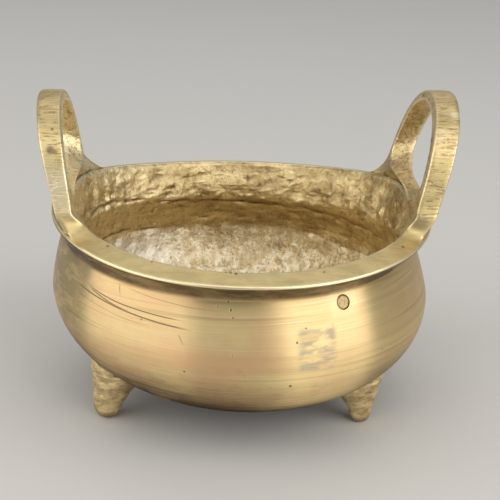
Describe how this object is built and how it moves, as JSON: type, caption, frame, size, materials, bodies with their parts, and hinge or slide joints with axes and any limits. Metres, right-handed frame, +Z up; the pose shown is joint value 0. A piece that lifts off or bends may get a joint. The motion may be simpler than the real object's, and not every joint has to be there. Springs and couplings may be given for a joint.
{
  "type": "tripod incense burner",
  "caption": "Small cast bronze incense burner: squat round bowl with an everted lip, upright loop ears and short conical feet.",
  "frame": {"origin": "centre of the bounding box's bottom, on the plane that the feet stand on", "axes": "+X through the ears, to the right as seen from the front; -Y to the front; +Z up"},
  "size_m": [0.1067, 0.1014, 0.0851],
  "materials": {
    "bronze": "worn satin bronze, filed on the lip and ears, rough as cast inside",
    "plug_bronze": "satin bronze, a shade darker than the casting"
  },
  "bodies": {
    "root": {"censer": "bronze", "shoulder_plug": "plug_bronze"}
  },
  "joints": []
}
